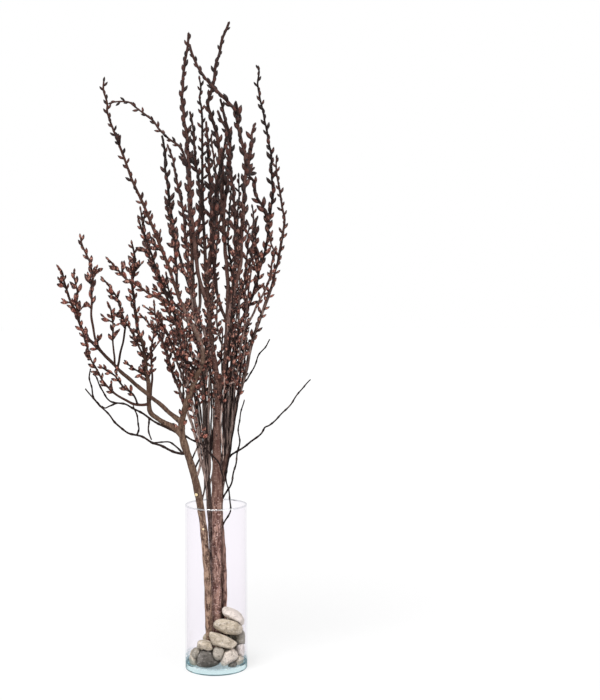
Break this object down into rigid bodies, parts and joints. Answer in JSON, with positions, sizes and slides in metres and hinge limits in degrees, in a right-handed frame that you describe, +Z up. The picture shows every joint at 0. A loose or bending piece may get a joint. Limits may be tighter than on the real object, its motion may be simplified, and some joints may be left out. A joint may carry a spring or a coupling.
{
  "type": "willow stems in a glass vase",
  "caption": "Cut willow branches with budded twigs standing in a heap of river stones in a tall clear glass cylinder vase.",
  "frame": {"origin": "centre of the vase's flat underside", "axes": "+Z up along the vase's axis, -Y towards the viewer of the picture, +X to the viewer's right"},
  "size_m": [0.6009, 0.3673, 1.5668],
  "materials": {
    "glass": "clear, polished, faint blue-green in the thick base",
    "olive_bark": "matte bark, olive to tan brown, darker on the twigs",
    "pink_bark": "matte rough pinkish-brown bark with pale lenticels",
    "dark_bark": "matte dark brown bark",
    "grey_bark": "matte grey-brown bark",
    "pale_stone": "matte, water-worn, warm grey beige",
    "grey_stone": "matte, water-worn, mid grey",
    "dark_stone": "matte, water-worn, dark grey with fine speckle"
  },
  "bodies": {
    "root": {"vase": "glass", "stem_left": "olive_bark", "stem_centre": "pink_bark", "stem_right": "dark_bark", "stem_back": "grey_bark", "stone_01": "pale_stone", "stone_02": "pale_stone", "stone_03": "pale_stone", "stone_04": "grey_stone", "stone_05": "pale_stone", "stone_06": "dark_stone", "stone_07": "grey_stone", "stone_08": "pale_stone", "stone_09": "pale_stone", "stone_10": "grey_stone", "stone_11": "pale_stone", "stone_12": "pale_stone", "stone_13": "dark_stone", "stone_14": "pale_stone", "stone_15": "pale_stone", "stone_16": "grey_stone", "stone_17": "pale_stone", "stone_18": "pale_stone", "stone_19": "grey_stone", "stone_20": "pale_stone", "stone_21": "pale_stone"}
  },
  "joints": []
}
